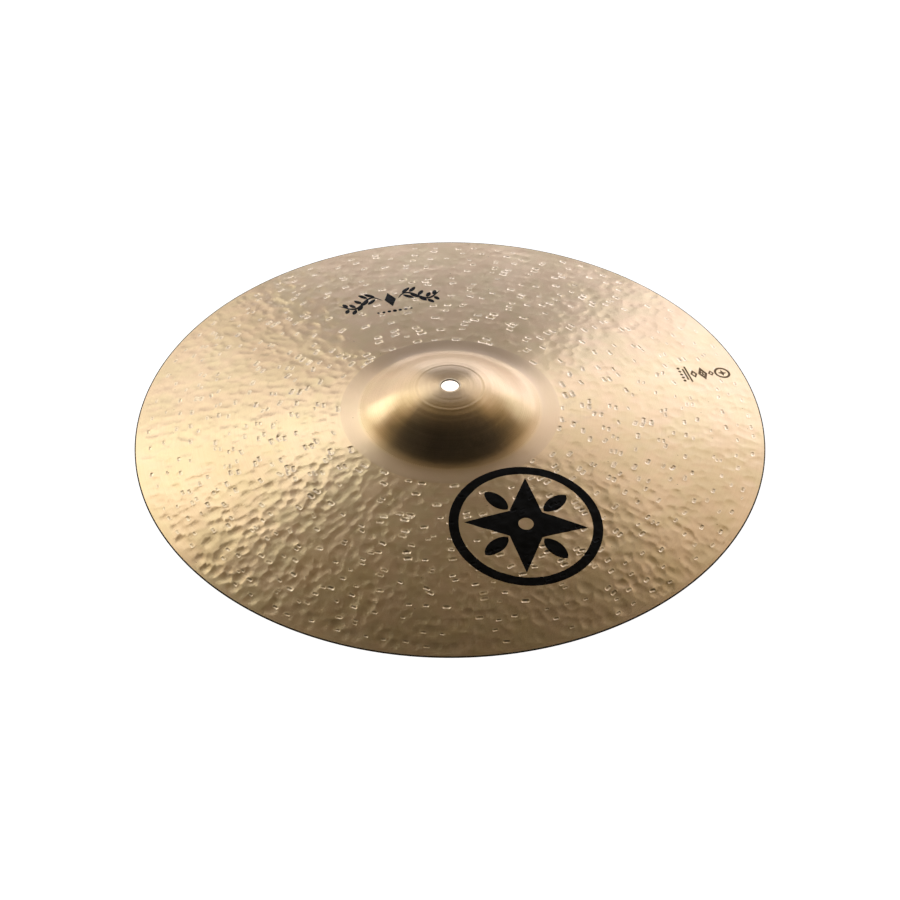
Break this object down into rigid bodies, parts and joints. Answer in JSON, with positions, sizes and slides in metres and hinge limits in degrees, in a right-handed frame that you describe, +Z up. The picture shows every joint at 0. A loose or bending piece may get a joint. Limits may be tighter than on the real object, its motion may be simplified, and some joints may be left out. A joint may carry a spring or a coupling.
{
  "type": "crash cymbal",
  "caption": "Round bronze crash cymbal: a thin domed disc with a raised bell and a central hole for a stand's rod.",
  "frame": {"origin": "centre of the circle that the rim rests on, straight below the hole", "axes": "+Z up along the axis of the disc, from the plane of the rim to the crown of the bell"},
  "size_m": [0.4572, 0.4572, 0.0485],
  "materials": {
    "bronze": "satin",
    "ink": "matte"
  },
  "bodies": {
    "root": {"cymbal": "bronze"}
  },
  "joints": []
}
